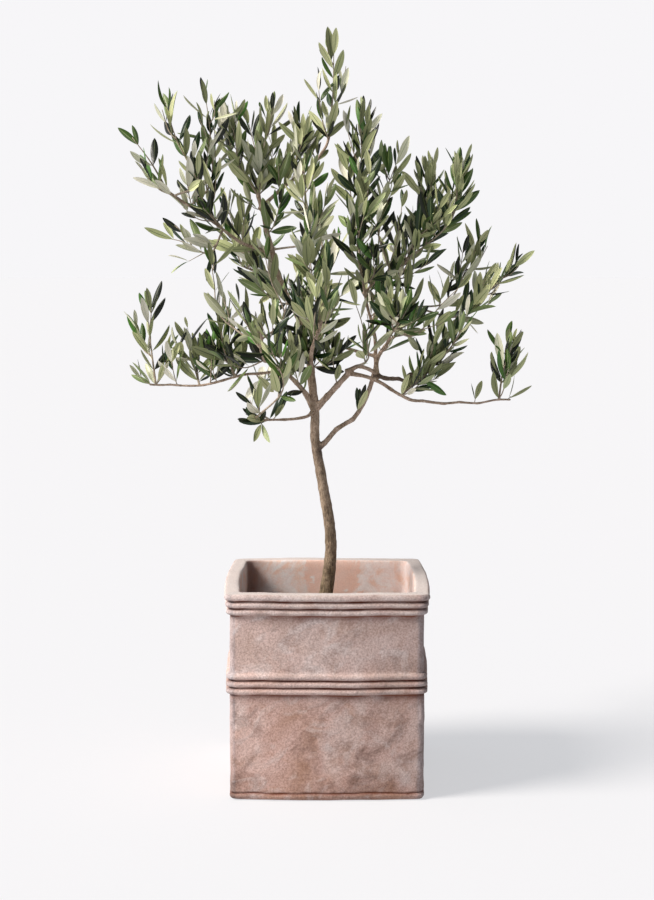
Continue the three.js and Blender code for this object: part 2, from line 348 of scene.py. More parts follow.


# Washed terracotta: earthenware fired at about 1000 degrees, so dry and open-grained. It
# has no gloss at all. The lime wash greys and pinks the orange clay in cloudy patches and
# slanting brush smears, wears white on the edges, and leaves the clay bare in the mouth.
# Painted shade darkens the grooves, the corners and the right of the walls, and painted
# highlight pales the crests of the bands.
terracotta, tree, shader, places = start_material("lime_washed_terracotta")
marks = {name: add(tree, "Attribute", attribute_name=name).outputs["Fac"]
         for name in ("groove", "corner", "edge", "rim", "bare", "damp", "inner")}
clouds = add(tree, "TexNoise",
             {"Vector": places, "Scale": per(130), "Detail": 4, "Roughness": 0.5, "Distortion": 0.7})
clay = add(tree, "ValToRGB",
           {"Fac": clouds}, stops=[(0.36, "#BD9581"), (0.5, "#DEBAAF"), (0.64, "#EFD5CD")])
warm = add(tree, "TexNoise",
           {"Vector": places, "Scale": per(75), "Detail": 4, "Roughness": 0.55, "Distortion": 1.0})
warm_share = add(tree, "MapRange", {"Value": warm, "From Min": 0.5, "From Max": 0.72, "To Max": 0.6})
warmed = add(tree, "Mix", {"Factor": warm_share, "A": clay, "B": "#BD8F74"})
slant = add(tree, "Mapping",
            {"Vector": places, "Rotation": (0.6, 0.8, 0.6), "Scale": (1, 1, 1.7)},
            vector_type="TEXTURE")
smudges = add(tree, "TexNoise",
              {"Vector": slant, "Scale": per(48), "Detail": 6, "Roughness": 0.66, "Distortion": 0.5})
smudge_share = add(tree, "MapRange",
                   {"Value": smudges, "From Min": 0.5, "From Max": 0.32, "To Max": 0.8})
smudged = add(tree, "Mix", {"Factor": smudge_share, "A": warmed, "B": "#886A5E"})
wisps = add(tree, "TexNoise",
            {"Vector": slant, "Scale": per(36), "Detail": 6, "Roughness": 0.55, "Distortion": 1.2})
bloom = add(tree, "MapRange", {"Value": wisps, "From Min": 0.52, "From Max": 0.72, "To Max": 0.6})
split = add(tree, "SeparateXYZ", {"Vector": places})
# The bloom is heavier higher up the walls, so they are paler towards the top.
bloom_higher_up = add(tree, "MapRange",
                  {"Value": split.outputs["Z"], "From Min": 0.15, "From Max": 0.25, "To Max": 0.42})
bloom_share = add(tree, "Math", {0: bloom, 1: bloom_higher_up}, use_clamp=True)
bloomed = add(tree, "Mix", {"Factor": bloom_share, "A": smudged, "B": "#ECDDDA"})
# Painted shade: the walls darken towards the right, away from the lamp, in cloudy steps, and all over the
# right side.
clouds_and_right_shade = add(tree, "Math", {0: clouds, 1: 0.3, 2: split.outputs["X"]}, operation="MULTIPLY_ADD")
right_shade_share = add(tree, "MapRange", {"Value": clouds_and_right_shade, "From Min": 0, "From Max": 0.34, "To Max": 0.54})
shaded_right = add(tree, "Mix", {"Factor": right_shade_share, "A": bloomed, "B": "#BDBCBE"}, blend_type="MULTIPLY")
grain = add(tree, "TexNoise", {"Vector": places, "Scale": per(3.2), "Detail": 5, "Roughness": 0.7})
grain_tint = add(tree, "ValToRGB", {"Fac": grain}, stops=[(0.36, "#B4A8A2"), (0.62, "#FFFFFF")])
mottled = add(tree, "Mix", {"Factor": 0.75, "A": shaded_right, "B": grain_tint}, blend_type="MULTIPLY")
pits = add(tree, "TexVoronoi", {"Vector": places, "Scale": per(7)})
pit_size = add(tree, "MapRange", {"Value": smudges, "From Min": 0.56, "From Max": 0.3, "To Max": 0.24})
pit_share = add(tree, "MapRange", {"Value": pits, "From Min": pit_size, "From Max": 0, "To Max": 0.75})
pitted = add(tree, "Mix", {"Factor": pit_share, "A": mottled, "B": "#6E5144"})
# Dirt and painted shade in the grooves and along the foot line, and a darker strip under each band.
grooved = add(tree, "Mix", {"Factor": marks["groove"], "A": pitted, "B": "#74391F"})
# Painted shade: the rounded corners are darkened and cooled, as the lamp lights them more than the flat
# faces.
corners_shaded = add(tree, "Mix", {"Factor": marks["corner"], "A": grooved, "B": "#DCE2E9"}, blend_type="MULTIPLY")
# Wear on the edges and crests, and painted highlight along the crests of the bands.
wear_and_highlight_share = add(tree, "Math", {0: marks["edge"], 1: grain}, operation="MULTIPLY")
worn_and_highlighted = add(tree, "Mix", {"Factor": wear_and_highlight_share, "A": corners_shaded, "B": "#E8DEDB"})
rim_bloom = add(tree, "MapRange",
                {"Value": grain, "From Min": 0.3, "From Max": 0.6, "To Min": 0.45, "To Max": 0.95})
rim_wear = add(tree, "Math", {0: marks["rim"], 1: rim_bloom}, operation="MULTIPLY")
rimmed = add(tree, "Mix", {"Factor": rim_wear, "A": worn_and_highlighted, "B": "#DED5D1"})

# The inside has pink and orange patches under a skin of white salts, all painted paler,
# as painted light against the shade inside, a place on the back wall where the wash has
# flaked off, painted shade on its lamp-lit right, and damp clay just above the soil with
# painted shade in the back left corner.
patches = add(tree, "TexNoise",
              {"Vector": places, "Scale": per(48), "Detail": 7, "Roughness": 0.55, "Distortion": 1.6})
# Painted light: the inner clay and salts are painted near white, to lift the shade inside the mouth.
paler_inner_clay = add(tree, "ValToRGB",
                {"Fac": patches}, stops=[(0.42, "#FBEFEB"), (0.52, "#FAE5DD"), (0.62, "#F8D6C4")])
salts = add(tree, "TexNoise",
            {"Vector": places, "Scale": per(26), "Detail": 8, "Roughness": 0.66, "Distortion": 0.8})
salt_share = add(tree, "MapRange", {"Value": salts, "From Min": 0.5, "From Max": 0.62, "To Max": 0.6})
salted = add(tree, "Mix", {"Factor": salt_share, "A": paler_inner_clay, "B": "#FDF8F6"})
flaking = add(tree, "Math", {0: patches, 1: 1.8, 2: marks["bare"]}, operation="MULTIPLY_ADD")
flaked_share = add(tree, "MapRange",
                   {"Value": flaking, "From Min": 1.28, "From Max": 1.4, "To Max": 0.75})
flaked = add(tree, "Mix", {"Factor": flaked_share, "A": salted, "B": "#F8CBB7"})
# Painted shade: the inner walls are darkened towards the right, where the lamp falls on them.
right_inner_shade_share = add(tree, "MapRange",
                 {"Value": split.outputs["X"], "From Min": 0.02, "From Max": 0.16, "To Max": 0.6})
shaded_inner_right = add(tree, "Mix", {"Factor": right_inner_shade_share, "A": flaked, "B": "#DCD3D2"}, blend_type="MULTIPLY")
inner_mottled = add(tree, "Mix", {"Factor": 0.2, "A": shaded_inner_right, "B": grain_tint}, blend_type="MULTIPLY")
# Damp clay above the soil, and painted shade in the back left corner.
damp_and_shaded = add(tree, "Mix", {"Factor": marks["damp"], "A": inner_mottled, "B": "#70402F"})
finished = add(tree, "Mix", {"Factor": marks["inner"], "A": rimmed, "B": damp_and_shaded})
dryness = add(tree, "MapRange", {"Value": grain, "To Min": 0.82, "To Max": 0.98})
pores = add(tree, "TexNoise", {"Vector": places, "Scale": per(1.6), "Detail": 4})
trowelled = add(tree, "Bump", {"Strength": 0.7, "Distance": 1.6 * MM, "Height": wisps})
grained = add(tree, "Bump",
              {"Strength": 0.7, "Distance": 0.6 * MM, "Height": grain, "Normal": trowelled})
pored = add(tree, "Bump", {"Strength": 0.6, "Distance": 0.3 * MM, "Height": pores, "Normal": grained})
feed(shader, {"Base Color": finished, "Roughness": dryness, "Normal": pored})

pot = piece("square_terracotta_pot", points, faces, [terracotta])
mark(pot, "groove", groove + [0, 0])
mark(pot, "rim", rim_share + [0, 0])
mark(pot, "inner", inner_share + [1, 0])
mark(pot, "edge", edge_wear_and_highlight + [0, 0])
mark(pot, "corner", list(corner_share) * len(rows) + [0, 0])
soil_low, soil_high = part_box("soil")
# Damp clay just above the soil, and painted shade in the back left corner of the mouth, which the left
# wall shades from the lamp.
damp = [math.exp(-abs(z - soil_high.z) / (9 * MM)) * (0.5 + rough((x, y, z), 30 * MM))
        + 0.8 * math.exp(-(math.hypot(x + inner_foot, y - inner_foot) / (30 * MM)) ** 2)
        for x, y, z in points]
mark(pot, "damp", damp)
bare = [max(0.0, 1 - (abs(x - 12 * MM + 16 * MM * rough((0, y, z), 40 * MM)) / (64 * MM)) ** 4)
        * (0.75 + 0.7 * rough((x, y, z), 34 * MM, 15)) * float(y > inner_foot - 4 * MM)
        for x, y, z in points]
mark(pot, "bare", bare)
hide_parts("pot")


# Soil: moist potting compost that fills the pot to a hand's breadth below the rim. Its
# top is a crumbly skin, and loose clods of compost and grit lie on it.
SOIL_TOP = soil_high.z
SOIL_CROWNING = 2 * MM
SOIL_RINGS = 40
SOIL_COARSENESS = 4  # the soil's rings have one point for this many of the pot's
CLODS = 420
CLOD_SIZE = (1.5, 4.5)
soil_half = inner_foot + WALL_DRAFT * SOIL_TOP / POT_HEIGHT
wall_ring = square_ring(soil_half)[::SOIL_COARSENESS]
foot_ring = square_ring(inner_foot - 0.5 * MM)[::SOIL_COARSENESS]
ring_size = len(wall_ring)


def soil_height(x, y):
    """The height of the soil's crumbly top."""
    out = min(1.0, math.hypot(x, y) / soil_half)
    lumps = 2.2 * MM * rough((x, y, 0), 28 * MM) + 1.1 * MM * rough((x, y, 0), 8 * MM, 2)
    return SOIL_TOP - SOIL_CROWNING * out + lumps


def join(points, faces, more_points, more_faces):
    """Adds one more shape to the points and faces of a mesh."""
    first = len(points)
    points += more_points
    faces += [tuple(first + corner for corner in face) for face in more_faces]


points = [(0, 0, soil_height(0, 0))]
for share in np.linspace(1 / SOIL_RINGS, 1, SOIL_RINGS):
    points += [(x, y, soil_height(x, y)) for x, y in wall_ring * share]
points += [(x, y, soil_low.z) for x, y in foot_ring]
points.append((0, 0, soil_low.z))
faces = [(0, 1 + step, 1 + (step + 1) % ring_size) for step in range(ring_size)]
faces += [(a, d, c, b) for a, b, c, d in ring_walls(SOIL_RINGS + 1, ring_size, 1)]
last = 1 + SOIL_RINGS * ring_size
for step in range(ring_size):
    faces.append((last + (step + 1) % ring_size, last + step, len(points) - 1))

# Potting compost: black peat and brown bark fines, damp underneath, so dark and quite
# rough, with paler crumbs where it has dried.
compost, tree, shader, places = start_material("potting_compost")
crumbs = add(tree, "TexNoise", {"Vector": places, "Scale": per(7), "Detail": 8, "Roughness": 0.7})
earth = add(tree, "ValToRGB",
            {"Fac": crumbs}, stops=[(0.35, "#221913"), (0.55, "#3D2D22"), (0.75, "#6B533F")])
dryness = add(tree, "MapRange", {"Value": crumbs, "To Min": 0.75, "To Max": 1.0})
crumbly = add(tree, "Bump", {"Strength": 0.9, "Distance": 2 * MM, "Height": crumbs})
feed(shader, {"Base Color": earth, "Roughness": dryness, "Normal": crumbly})

soil = piece("compost", points, faces, [compost])
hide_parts("soil")

soil_random = np.random.default_rng(11)
clod_corners = np.array([(1, 0, 0), (0, 1, 0), (-1, 0, 0), (0, -1, 0), (0, 0, 1), (0, 0, -1)],
                        float)
clod_faces = [(0, 1, 4), (1, 2, 4), (2, 3, 4), (3, 0, 4), (1, 0, 5), (2, 1, 5), (3, 2, 5),
              (0, 3, 5)]
points, faces = [], []
for _ in range(CLODS):
    x, y = soil_random.uniform(-0.94, 0.94, 2) * soil_half
    size = soil_random.uniform(*CLOD_SIZE) * MM
    turn = soil_random.uniform(0, math.pi)
    turned = clod_corners @ np.array([[math.cos(turn), math.sin(turn), 0],
                                      [-math.sin(turn), math.cos(turn), 0], [0, 0, 0.7]])
    turned *= size * soil_random.uniform(0.7, 1.3, (6, 1))
    clod = turned + (x, y, soil_height(x, y) + 0.3 * size)
    join(points, faces, clod.tolist(), clod_faces)
clods = piece("compost_clods", points, faces, [compost], smooth=False)


# Trunk and boughs: one young olive stem that leans and straightens, and the limbs that
# fork from it. Each is built round the middle line of its limb, and all are fused into
# one skin, with a swollen collar where a limb leaves its parent, a knot and a slight jog
# where leaves have fallen, the bark's shallow ridges and a puckered scar at the low bough.
LIMB_GAP = 7 * MM  # the solids' sections lie further apart than this
ROUNDED = 0.91  # a round limb's radius, as a share of its hexagonal solid's
LIMB_STEP = 3 * MM
LIMB_SIDES = 14
BURIED = 9 * MM  # how far a limb starts inside its parent
TRUNK_BURIED = 12 * MM
FUSE_SIZE = 1.4 * MM
COLLAR = 0.3
COLLAR_REACH = 1.6  # in radii of the limb
JOG = 1.7 * MM
JOG_FREE_ENDS = 30 * MM
CROOKED = {"trunk": 0.25, "knobbly_bough": 1.6, "long_right_bough": 1.6}
KNOT_LENGTH = 3 * MM
KNOT_SPACING = 34 * MM
KNOBBLY_SPACING = 13 * MM
KNOTS = {"trunk": 0.05, "knobbly_bough": 0.2}
KNOT_OF_OTHERS = 0.11
SCAR_OFFSET = (6.5 * MM, -8 * MM, -4 * MM)
SCAR_SIZE = 9 * MM
SCAR_HEIGHT = 0.6  # the scar is taller than wide, by one over this
leafy = sorted(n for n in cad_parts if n.endswith("_foliage"))
limbs = ["trunk", *sorted(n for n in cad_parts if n.endswith(("_bough", "_stem")))]


def node_points(name):
    """The corners of one solid of the frame."""
    return np.array([v.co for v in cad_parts[name].data.vertices])


def main_axis(cloud):
    """The direction in which a cloud of points is longest."""
    centred = cloud - cloud.mean(axis=0)
    return np.linalg.svd(centred, full_matrices=False)[2][0]


def middle_line(name):
    """A limb's middle points and radii, from its thick end to its thin end."""
    cloud = node_points(name)
    along = cloud @ main_axis(cloud)
    order = np.argsort(along)
    cuts = np.nonzero(np.diff(along[order]) > LIMB_GAP)[0] + 1
    rings = [cloud[group] for group in np.split(order, cuts)]
    middles = np.array([ring.mean(axis=0) for ring in rings])
    radii = np.array([np.linalg.norm(ring - middle, axis=1).max()
                      for ring, middle in zip(rings, middles)])
    if len(radii) > 3:
        radii[0], radii[-1] = radii[1], radii[-2]
    if name != "trunk":
        radii = radii * ROUNDED
    half = len(radii) // 2
    if radii[:half].mean() < radii[half:].mean():
        middles, radii = middles[::-1], radii[::-1]
    return middles, radii


def smooth_line(stations, step, values=None):
    """Points along a smooth curve through the stations, a step apart, and their values."""
    stations = np.asarray(stations, float)
    before, after = 2 * stations[0] - stations[1], 2 * stations[-1] - stations[-2]
    padded = np.vstack([before, stations, after])
    line, along = [], []
    for i in range(1, len(padded) - 2):
        p0, p1, p2, p3 = padded[i - 1:i + 3]
        count = max(2, round(np.linalg.norm(p2 - p1) / step))
        for t in np.arange(count) / count:
            line.append(0.5 * (2 * p1 + (p2 - p0) * t + (2 * p0 - 5 * p1 + 4 * p2 - p3) * t ** 2
                               + (3 * p1 - p0 - 3 * p2 + p3) * t ** 3))
            along.append(i - 1 + t)
    line.append(stations[-1])
    along.append(len(stations) - 1.0)
    if values is None:
        return np.array(line)
    return np.array(line), np.interp(along, np.arange(len(values)), values)


def travel(line):
    """How far each point of a line lies along it."""
    return np.concatenate([[0], np.cumsum(np.linalg.norm(np.diff(line, axis=0), axis=1))])


def directions(line):
    """The unit direction of a line at each of its points."""
    steps = np.gradient(line, axis=0)
    return steps / np.linalg.norm(steps, axis=1)[:, None]


def tube(line, radii, sides, shape=None):
    """Points and faces of a closed tube; shape varies the radius by step and angle."""
    tangents = directions(line)
    guide = np.array((0.0, 1.0, 0.0)) if abs(tangents[0][1]) < 0.8 else np.array((1.0, 0, 0))
    angles = np.arange(sides) / sides * 2 * math.pi
    points = []
    for step, (middle, tangent, radius) in enumerate(zip(line, tangents, radii)):
        guide = guide - tangent * (guide @ tangent)
        guide /= np.linalg.norm(guide)
        other = np.cross(tangent, guide)
        spread = radius * (shape(step, angles) if shape else np.ones(sides))
        points += list(middle + np.outer(spread * np.cos(angles), guide)
                       + np.outer(spread * np.sin(angles), other))
    first_end, last_end = range(sides), range(len(points) - sides, len(points))
    return points, [*ring_walls(len(line), sides), tuple(first_end)[::-1], tuple(last_end)]


wood_random = np.random.default_rng(5)
limb_lines = {}
points, faces = [], []
for name in limbs:
    middles, radii = middle_line(name)
    buried = middles[0] - directions(middles)[0] * (TRUNK_BURIED if name == "trunk" else BURIED)
    middles, radii = np.vstack([buried, middles]), np.concatenate([radii[:1], radii])
    line, girth = smooth_line(middles, LIMB_STEP, radii)
    reach = travel(line)
    spacing = KNOBBLY_SPACING if name == "knobbly_bough" else KNOT_SPACING
    phase = wood_random.uniform(0, spacing)
    from_knot = (reach + phase) % spacing - spacing / 2
    knot = KNOTS.get(name, KNOT_OF_OTHERS)
    swell = 1 + knot * np.exp(-(from_knot / KNOT_LENGTH) ** 2)
    if name != "trunk":
        swell += COLLAR * np.exp(-np.maximum(0, reach - BURIED) / (COLLAR_REACH * girth[0]))
    knots = np.arange(-phase - spacing / 2, reach[-1] + 2 * spacing, spacing)
    jogs = wood_random.normal(0, JOG * CROOKED.get(name, 1), (len(knots), 3))
    free = np.clip(np.minimum(reach, reach[-1] - reach) / JOG_FREE_ENDS, 0, 1)
    for axis in range(3):
        line[:, axis] += np.interp(reach, knots, jogs[:, axis]) * free
    limb_lines[name] = (line, girth)
    turn = wood_random.uniform(0, 2 * math.pi)

    def lobed(step, angles, turn=turn, reach=reach):
        """Limbs are never quite round: two or three soft lobes wind slowly up them."""
        wind = turn + 9 * reach[step]
        return 1 + 0.06 * np.sin(2 * angles + wind) + 0.05 * np.sin(3 * angles - 1.7 * wind)

    join(points, faces, *tube(line, girth * swell, LIMB_SIDES, lobed))

# Olive bark: dull brown on the trunk, where it splits into fine upright cracks, and paler
# tan on the thinner boughs, with cloudy stains. The healed scar is darker, and the knobbly
# spur and the thinnest ends are darkened with painted shade.
bark, tree, shader, places = start_material("young_olive_bark")
upright = add(tree, "Mapping", {"Vector": places, "Scale": (1, 1, 0.42)})
fibres = add(tree, "TexNoise",
             {"Vector": upright, "Scale": per(3), "Detail": 7, "Roughness": 0.75, "Distortion": 0.7})
stains = add(tree, "TexNoise", {"Vector": upright, "Scale": per(14), "Detail": 5})
trunk_tint = add(tree, "ValToRGB",
                 {"Fac": fibres}, stops=[(0.34, "#2F2519"), (0.5, "#77644B"), (0.68, "#B5A17D")])
bough_tint = add(tree, "ValToRGB",
                 {"Fac": fibres}, stops=[(0.34, "#7C6453"), (0.5, "#C2A996"), (0.68, "#EAD8C7")])
girth_mark = add(tree, "Attribute", attribute_name="girth").outputs["Fac"]
wood_tint = add(tree, "Mix", {"Factor": girth_mark, "A": bough_tint, "B": trunk_tint})
stain_tint = add(tree, "ValToRGB", {"Fac": stains}, stops=[(0.35, "#B5B0A2"), (0.62, "#FFFFFF")])
stained = add(tree, "Mix", {"Factor": 0.8, "A": wood_tint, "B": stain_tint}, blend_type="MULTIPLY")
scar_and_shade_mark = add(tree, "Attribute", attribute_name="dark").outputs["Fac"]
# The healed scar is darker, and painted shade darkens the knobbly spur and the thinnest limbs.
barked = add(tree, "Mix", {"Factor": scar_and_shade_mark, "A": stained, "B": "#41342D"})
dryness = add(tree, "MapRange", {"Value": fibres, "To Min": 0.9, "To Max": 0.65})
cracked = add(tree, "Bump", {"Strength": 1.0, "Distance": 1.1 * MM, "Height": fibres})
feed(shader, {"Base Color": barked, "Roughness": dryness, "Normal": cracked})

wood = piece("trunk_and_boughs", points, faces, [bark])
fuse = wood.modifiers.new("fuse", "REMESH")
fuse.mode = "VOXEL"
fuse.voxel_size = FUSE_SIZE
fuse.use_smooth_shade = True
bpy.context.view_layer.update()
fused = bpy.data.meshes.new_from_object(
    wood.evaluated_get(bpy.context.evaluated_depsgraph_get()))
wood.modifiers.clear()
wood.data = fused

# The bark's relief: each point of the skin looks up the nearest limb, for its thickness.
limb_points = [(place, radius, name == "knobbly_bough")
               for name, (line, girth) in limb_lines.items()
               for place, radius in zip(line, girth)]
nearest = KDTree(len(limb_points))
for number, (place, _, _) in enumerate(limb_points):
    nearest.insert(place, number)
nearest.balance()
corners, normals = np.empty((2, len(fused.vertices) * 3))
fused.vertices.foreach_get("co", corners)
fused.vertices.foreach_get("normal", normals)
corners, normals = corners.reshape(-1, 3), normals.reshape(-1, 3)
scar = limb_lines["low_right_bough"][0][0] + SCAR_OFFSET
girths, scar_and_shade_shares, swells = [], [], []
for x, y, z in corners.tolist():
    _, radius, is_spur = limb_points[nearest.find((x, y, z))[1]]
    ridges = rough((x, y, z * 0.25), 3.2 * MM) * 0.45 * MM
    lumps = rough((x, y, z), 13 * MM, 4) * 0.8 * MM
    from_scar = math.dist((x, y, z * SCAR_HEIGHT), (*scar[:2], scar[2] * SCAR_HEIGHT))
    healed = math.exp(-(from_scar / SCAR_SIZE) ** 2)
    puckers = (1.6 + 2.2 * rough((x, y, z), 4 * MM, 6)) * MM * healed
    swells.append((ridges + lumps + puckers) * min(1.0, radius / (7 * MM)))
    girths.append(radius / (10 * MM) - 0.4)
    # The healed scar is darker; the knobbly spur and the thinnest limbs get painted shade.
    scar_and_shade_shares.append(max(0.75 * is_spur, 0.95 * healed, 0.5 - radius / (7 * MM)))
fused.vertices.foreach_set("co", (corners + normals * np.array(swells)[:, None]).ravel())
fused.update()
mark(wood, "girth", girths)
mark(wood, "dark", scar_and_shade_shares)
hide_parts(*limbs)


# Shoots: from the nearest limb a twig runs up through each mass of foliage to near its
# tip, and side shoots leave it one above another, turning by the golden angle, each
# bending up until it runs nearly alongside the twig.
SHOOT_SIDES = 5
SHOOT_STEP = 9 * MM
TWIG_RADIUS = 2.2 * MM
SIDE_RADIUS = 1.4 * MM
TIP_RADIUS = 0.6 * MM
SIDE_SHOOT_SPACING = 34 * MM
LOWEST_SIDE_SHOOT = 20 * MM  # below where the twig enters its mass of foliage
HIGHEST_SIDE_SHOOT = 26 * MM  # below the twig's tip
LEAF_REACH = 36 * MM  # how far the leaves reach past the tip of their shoot
ENTRY_GAP = 25 * MM  # a twig bends where it enters its mass, if its limb is this far away
TWIG_LEAVES_START = 14 * MM  # how far below its entry a twig's first leaves stand
SIDE_BARE = 9 * MM  # the leafless foot of a side shoot
SWAY = 0.12  # how far a twig bows aside, as a share of its mass's radius
GOLDEN_ANGLE = math.radians(137.5)
CROWN_SPREAD = np.array((0.34, 0.26, 0.4))
GROWTH = {
    # how far apart the shoots and leaves stand, and the masses of foliage that grow so
    4.5: ["mid_left_front", "back_left", "mid_right", "outer_left_tip"],
    3.0: ["left_wisp", "back_right", "centre_low", "front_centre"],
    2.0: ["back_mid_right"],
    1.4: ["spire", "outer_left", "outer_left_peak", "inner_left_back"],
    0.7: ["far_left", "high_left", "high_centre_right", "high_centre_left", "shoulder_back",
          "front_left", "outer_right", "high_left_back", "low_left_front"],
    0.45: ["front_right", "far_right", "shoulder_front"],
    0.3: ["low_right"],
}
growth_of = {mass: growth for growth, masses in GROWTH.items() for mass in masses}
fork = limb_lines["trunk"][0][-1]
crown_centre = fork + (20 * MM, 0, 170 * MM)
limb_places = np.vstack([line[2:] for line, _ in limb_lines.values()])
shoots = []  # line, radius at the foot, length that is bare, sparseness, seed of its leaves


def foliage_axis(name):
    """Where a mass of foliage starts and ends, and the radius most of it lies within."""
    cloud = node_points(name)
    axis = main_axis(cloud)
    centre = (cloud.min(axis=0) + cloud.max(axis=0)) / 2
    along = (cloud - centre) @ axis
    base, tip = centre + axis * along.min(), centre + axis * along.max()
    if np.linalg.norm(base - fork) > np.linalg.norm(tip - fork):
        base, tip, axis = tip, base, -axis
    beside = cloud - centre - np.outer((cloud - centre) @ axis, axis)
    return base, tip, np.percentile(np.linalg.norm(beside, axis=1), 85)


def across(axis, angle):
    """A unit direction square to an axis, at an angle round it."""
    first = np.cross(axis, (0.3, 1.0, 0.2))
    first /= np.linalg.norm(first)
    return math.cos(angle) * first + math.sin(angle) * np.cross(axis, first)


for number, name in enumerate(leafy):
    seed = (23, number)
    grow = np.random.default_rng(seed)
    base, tip, radius = foliage_axis(name)
    length = np.linalg.norm(tip - base)
    axis = (tip - base) / length
    cost = np.linalg.norm(limb_places - (base + 0.12 * length * axis), axis=1)
    cost += 0.8 * np.maximum(0, (limb_places - base) @ axis)
    anchor = limb_places[np.argmin(cost)]
    stations = [anchor]
    if np.linalg.norm(base - anchor) > ENTRY_GAP and (base - anchor) @ axis > 0:
        stations.append(base + 0.03 * length * axis + grow.normal(0, 2 * MM, 3))
    sway = across(axis, grow.uniform(0, 2 * math.pi)) * radius * SWAY
    stations += [base + 0.45 * (tip - base) + sway, tip - LEAF_REACH * axis]
    line = smooth_line(stations, SHOOT_STEP)
    reach = travel(line)
    entered = reach[np.argmin(np.linalg.norm(line - base, axis=1))]
    outside = np.linalg.norm((base + tip - 2 * crown_centre) / 2 / CROWN_SPREAD)
    sparse = 1 + 1.7 * max(0.0, outside - 0.5)
    sparse *= growth_of.get(name.removesuffix("_foliage"), 1)
    shoots.append((line, TWIG_RADIUS, entered - TWIG_LEAVES_START, math.sqrt(sparse), seed))
    turn = grow.uniform(0, 2 * math.pi)
    leaving = max(4 * MM, entered - LOWEST_SIDE_SHOOT)
    while leaving < reach[-1] - HIGHEST_SIDE_SHOOT:
        turn += GOLDEN_ANGLE + grow.normal(0, 0.25)
        start = line[np.argmin(abs(reach - leaving))]
        share = (start - base) @ axis / length
        rise = length * grow.uniform(0.24, 0.4) * (1.15 - 0.6 * share)
        end_share = min(0.93, share + rise / length)
        fullness = math.sin(math.pi * (0.14 + 0.78 * end_share)) ** 0.6
        spread = max(0.12 * radius, radius * fullness * grow.uniform(0.62, 0.95) - 9 * MM)
        out = across(axis, turn)
        end = base + end_share * length * axis + spread * out
        end -= axis * LEAF_REACH * 0.35 * end_share
        end += np.array((0, 0, 0.12)) * rise
        knee = start + 0.62 * spread * out + 0.32 * ((end - start) @ axis) * axis
        side_line = smooth_line([start, knee, end], SHOOT_STEP)
        shoots.append((side_line, SIDE_RADIUS, SIDE_BARE, math.sqrt(sparse), seed))
        leaving += SIDE_SHOOT_SPACING * sparse * grow.uniform(0.65, 1.4)

# Sprouts break from the old wood of the boughs and fill the middle of the crown. The
# right-hand boughs are bare until they are well up in it.
SPROUT_SPACING = 48 * MM
SPROUT_STEP = 0.6 * SHOOT_STEP
SPROUT_RADIUS = 0.7 * MM
SPROUT_TAPER = 90  # a sprout's foot is thicker by its length over this
BARE_LEFT, BARE_RIGHT = -30 * MM, 60 * MM  # height above the fork below which none grow


def sprout(foot, heading, tall, bare, seed):
    """A small shoot that leaves a bough at foot and bends up towards the light."""
    heading = np.array(heading) / np.linalg.norm(heading)
    tip = foot + heading * tall + np.array((0, 0, 0.3)) * tall
    line = smooth_line([foot, foot + heading * tall * 0.5, tip], SPROUT_STEP)
    shoots.append((line, SPROUT_RADIUS + tall / SPROUT_TAPER, bare, 1.0, seed))


for number, (line, girth) in enumerate(limb_lines.values()):
    seed = (24, number)
    grow = np.random.default_rng(seed)
    reach = travel(line)
    leaving = grow.uniform(20 * MM, 60 * MM)
    while leaving < reach[-1] - 10 * MM:
        step = np.argmin(abs(reach - leaving))
        leaving += SPROUT_SPACING * grow.uniform(0.6, 1.5)
        inner = 1 - np.linalg.norm((line[step] - crown_centre) / CROWN_SPREAD)
        bare_below = fork[2] + (BARE_RIGHT if line[step][0] > 0 else BARE_LEFT)
        if line[step][2] < bare_below or inner < 0:
            continue
        heading = across(directions(line)[step], grow.uniform(0, 2 * math.pi))
        heading = heading + (0, 0, grow.uniform(0.3, 1.1))
        sprout(line[step], heading, grow.uniform(18, 60 + 60 * inner) * MM,
               girth[step] + 4 * MM, seed)

# Stray sprouts: round the fork, below the low boughs, and at the bare ends of the longest.
STRAYS = [
    # bough, share of its length, heading, length
    ("leader_bough", 0.05, (-0.5, -0.8, 0.5), 62 * MM),
    ("leader_bough", 0.12, (0.35, -0.8, 0.8), 70 * MM),
    ("leader_bough", 0.2, (-0.2, -0.9, 0.9), 74 * MM),
    ("leader_bough", 0.02, (0.6, -0.7, 0.6), 66 * MM),
    ("leader_bough", 0.09, (-0.8, -0.6, 0.5), 70 * MM),
    ("leader_bough", 0.03, (-0.1, -1, 0.2), 56 * MM),
    ("leader_bough", 0.08, (0.2, -1, 0.1), 60 * MM),
    ("leader_bough", 0.16, (0.1, -1, -0.1), 58 * MM),
    ("left_bough", 0.25, (-0.3, -0.9, 0.5), 58 * MM),
    ("right_bough", 0.62, (-0.2, -0.5, 1), 66 * MM),
    ("inner_right_bough", 0.3, (0.6, -0.8, 0.6), 64 * MM),
    ("inner_right_bough", 0.55, (0.9, -0.6, 0.3), 58 * MM),
    ("knobbly_bough", 0.8, (0.4, -0.5, 1), 62 * MM),
    ("long_left_bough", 0.55, (0.1, -0.6, 1), 66 * MM),
    ("left_bough", 0.5, (0.1, -0.8, 1), 60 * MM),
    ("drooping_bough", 0.86, (0.05, -0.3, -1), 12 * MM),
    ("drooping_bough", 0.7, (0.5, -0.3, 0.6), 26 * MM),
    ("low_right_bough", 0.52, (0.35, -0.3, 1), 20 * MM),
    ("long_right_bough", 0.97, (1, 0, 0.3), 10 * MM),
    ("long_right_bough", 0.8, (0.2, 0, 1), 12 * MM),
    ("long_left_bough", 0.97, (-1, 0, 0.2), 24 * MM),
    ("long_left_bough", 0.8, (-0.3, -0.2, 1), 34 * MM),
]
